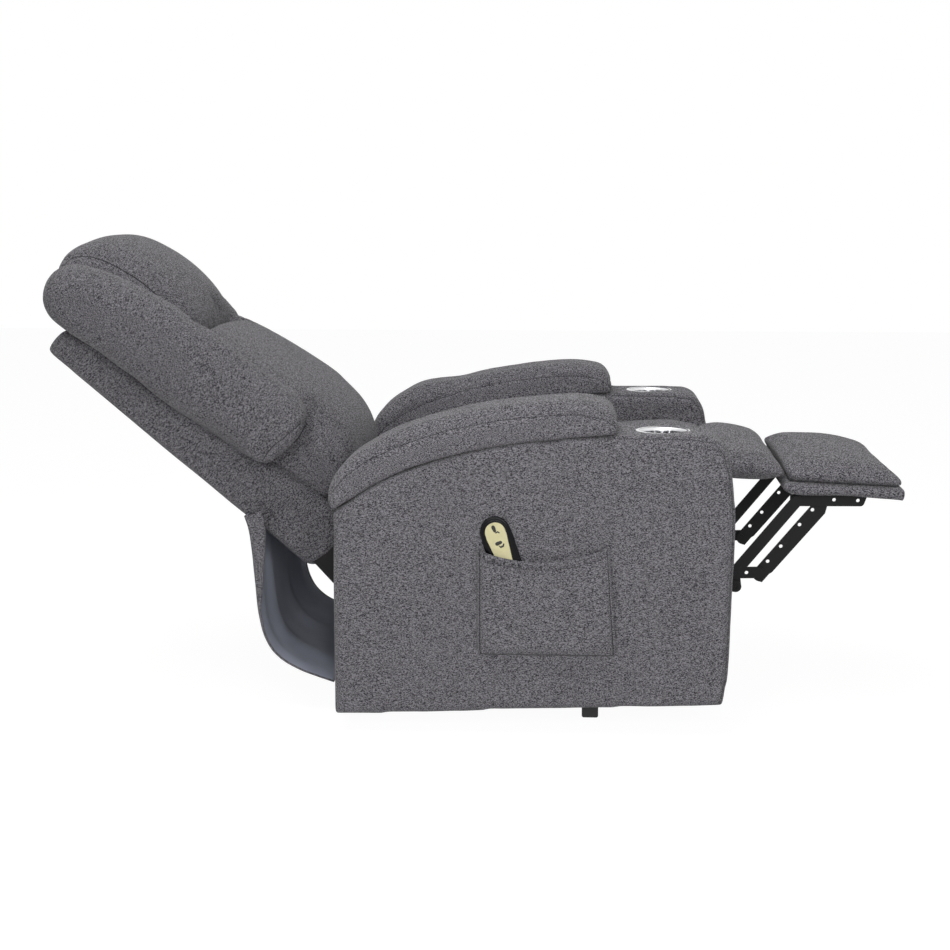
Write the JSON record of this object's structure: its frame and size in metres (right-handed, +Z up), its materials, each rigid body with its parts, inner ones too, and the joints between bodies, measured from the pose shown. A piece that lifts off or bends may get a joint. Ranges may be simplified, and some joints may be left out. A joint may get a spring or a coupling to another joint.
{
  "type": "lift recliner chair",
  "caption": "Upholstered power lift recliner, reclined with its footrest out, with cup holders in the arms, a side pocket with a handset and a steel scissor linkage.",
  "frame": {"origin": "on the floor under the middle of the chair's length and width as it stands reclined", "axes": "+X the way the sitter faces, towards the footrest; +Y the sitter's left; +Z up"},
  "size_m": [1.612, 0.859, 0.8878],
  "materials": {
    "black_steel": "satin black powder coat",
    "grey_fabric": "woven, dark heathered grey",
    "black_plastic": "matte",
    "handset_plastic": "semi-gloss",
    "key_plastic": "cream",
    "cup_steel": "bright",
    "rod_steel": "polished",
    "wood": "plain",
    "webbing": "elastic strap",
    "lining": "light grey lining"
  },
  "bodies": {
    "base": {"base_rail_right": "black_steel", "base_rail_left": "black_steel", "base_tube_front": "black_steel", "base_tube_middle": "black_steel", "base_tube_rear": "black_steel", "end_cap_right": "black_plastic", "end_cap_left": "black_plastic", "lift_tower_right": "black_steel", "lift_tower_left": "black_steel"},
    "lift_arms": {"lift_arm_right": "black_steel", "lift_arm_left": "black_steel", "torque_tube": "black_steel"},
    "control_link_right": {"control_link_right": "black_steel"},
    "control_link_left": {"control_link_left": "black_steel"},
    "actuator": {"actuator_housing": "black_plastic"},
    "actuator_rod": {"actuator_rod": "rod_steel"},
    "chassis": {"chassis_side_right": "black_steel", "chassis_side_left": "black_steel", "seat_plate_right": "black_steel", "seat_plate_left": "black_steel", "chassis_rail_front": "black_steel", "chassis_rail_rear": "black_steel", "arm_right": "grey_fabric", "arm_left": "grey_fabric", "arm_pad_right": "grey_fabric", "arm_pad_left": "grey_fabric", "cup_holder_right": "cup_steel", "cup_holder_left": "cup_steel", "side_pocket": "grey_fabric", "seat_rail_right": "wood", "seat_rail_left": "wood", "seat_rail_front": "wood", "seat_rail_back": "wood", "seat_webbing": "webbing", "seat_cushion": "grey_fabric", "rear_flap": "lining"},
    "back": {"back_frame": "grey_fabric", "back_bracket_right": "black_steel", "back_bracket_left": "black_steel", "back_wing_right": "grey_fabric", "back_wing_left": "grey_fabric", "head_pillow": "grey_fabric", "lumbar_cushion": "grey_fabric"},
    "footrest_shaft": {"footrest_shaft": "black_steel", "link_main_right": "black_steel", "link_main_left": "black_steel"},
    "link_rear_right": {"link_rear_right": "black_steel"},
    "link_rear_left": {"link_rear_left": "black_steel"},
    "link_long_right": {"link_long_right": "black_steel"},
    "link_long_left": {"link_long_left": "black_steel"},
    "link_front_right": {"link_front_right": "black_steel"},
    "link_front_left": {"link_front_left": "black_steel"},
    "footrest": {"foot_bracket_right": "black_steel", "foot_bracket_left": "black_steel", "footrest_board": "grey_fabric", "footrest_cushion": "grey_fabric"},
    "knee_roll": {"knee_roll": "grey_fabric"},
    "handset": {"handset_shell": "handset_plastic"},
    "key_up": {"handset_key_up": "key_plastic"},
    "key_down": {"handset_key_down": "key_plastic"}
  },
  "joints": [
    {"name": "lift", "type": "hinge", "parent": "base", "child": "lift_arms", "pos_m": [0.3616, 0, 0.1288], "axis": [0, 1, 0], "range_deg": [0, 49.3]},
    {"name": "control_right", "type": "hinge", "parent": "base", "child": "control_link_right", "pos_m": [0.2939, -0.2335, 0.1465], "axis": [0, 1, 0], "range_deg": [0, 41.11]},
    {"name": "control_left", "type": "hinge", "parent": "base", "child": "control_link_left", "pos_m": [0.2939, 0.2335, 0.1465], "axis": [0, 1, 0], "range_deg": [0, 41.11]},
    {"name": "actuator_tilt", "type": "hinge", "parent": "base", "child": "actuator", "pos_m": [-0.168, 0, 0.075], "axis": [0, 1, 0], "range_deg": [0, 0.34]},
    {"name": "actuator_stroke", "type": "slide", "parent": "actuator", "child": "actuator_rod", "axis": [1, 0, -0.0013], "range_m": [-0.05004, 0]},
    {"name": "chassis_tilt", "type": "hinge", "parent": "lift_arms", "child": "chassis", "pos_m": [0.0827, 0, 0.088], "axis": [0, 1, 0], "range_deg": [-27.31, 0]},
    {"name": "recline", "type": "hinge", "parent": "chassis", "child": "back", "pos_m": [-0.148, 0, 0.26], "axis": [0, 1, 0], "range_deg": [0, 36]},
    {"name": "footrest", "type": "hinge", "parent": "chassis", "child": "footrest_shaft", "pos_m": [0.35597, 0, 0.29], "axis": [0, 1, 0], "range_deg": [0, 90]},
    {"name": "rear_link_right", "type": "hinge", "parent": "chassis", "child": "link_rear_right", "pos_m": [0.36401, -0.1965, 0.26016], "axis": [0, 1, 0], "range_deg": [0, 92.17]},
    {"name": "rear_link_left", "type": "hinge", "parent": "chassis", "child": "link_rear_left", "pos_m": [0.36401, 0.1965, 0.26016], "axis": [0, 1, 0], "range_deg": [0, 92.17]},
    {"name": "long_link_right", "type": "hinge", "parent": "footrest_shaft", "child": "link_long_right", "pos_m": [0.499, -0.192, 0.259], "axis": [0, 1, 0], "range_deg": [-102.19, 0]},
    {"name": "long_link_left", "type": "hinge", "parent": "footrest_shaft", "child": "link_long_left", "pos_m": [0.499, 0.192, 0.259], "axis": [0, 1, 0], "range_deg": [-102.19, 0]},
    {"name": "front_link_right", "type": "hinge", "parent": "footrest_shaft", "child": "link_front_right", "pos_m": [0.546, -0.183, 0.26], "axis": [0, 1, 0], "range_deg": [-102.19, 0]},
    {"name": "front_link_left", "type": "hinge", "parent": "footrest_shaft", "child": "link_front_left", "pos_m": [0.546, 0.183, 0.26], "axis": [0, 1, 0], "range_deg": [-102.19, 0]},
    {"name": "footrest_level", "type": "hinge", "parent": "link_long_right", "child": "footrest", "pos_m": [0.614, -0.1875, 0.4005], "axis": [0, 1, 0], "range_deg": [0, 102.19]},
    {"name": "knee_fold", "type": "hinge", "parent": "chassis", "child": "knee_roll", "pos_m": [0.47, 0, 0.466], "axis": [0, 1, 0], "range_deg": [0, 87.31]},
    {"name": "handset_lift_out", "type": "slide", "parent": "chassis", "child": "handset", "axis": [-0.3256, 0, 0.9455], "range_m": [0, 0.115]},
    {"name": "key_up_press", "type": "slide", "parent": "handset", "child": "key_up", "axis": [0, 1, 0], "range_m": [0, 0.0006], "stiffness_N_per_m": 400},
    {"name": "key_down_press", "type": "slide", "parent": "handset", "child": "key_down", "axis": [0, 1, 0], "range_m": [0, 0.0006], "stiffness_N_per_m": 400}
  ],
  "couplings": [
    {"joint": "control_right", "follows": "lift", "ratio": 0.83367},
    {"joint": "control_left", "follows": "lift", "ratio": 0.83367},
    {"joint": "actuator_tilt", "follows": "lift", "ratio": 0.006694},
    {"joint": "actuator_stroke", "follows": "lift", "m_per_rad": -0.058128},
    {"joint": "chassis_tilt", "follows": "lift", "ratio": -0.55375},
    {"joint": "rear_link_right", "follows": "footrest", "ratio": 1.024},
    {"joint": "rear_link_left", "follows": "footrest", "ratio": 1.024},
    {"joint": "long_link_right", "follows": "footrest", "ratio": -1.1353},
    {"joint": "long_link_left", "follows": "footrest", "ratio": -1.1353},
    {"joint": "front_link_right", "follows": "footrest", "ratio": -1.1353},
    {"joint": "front_link_left", "follows": "footrest", "ratio": -1.1353},
    {"joint": "footrest_level", "follows": "footrest", "ratio": 1.1353},
    {"joint": "knee_fold", "follows": "footrest", "ratio": 0.97}
  ]
}
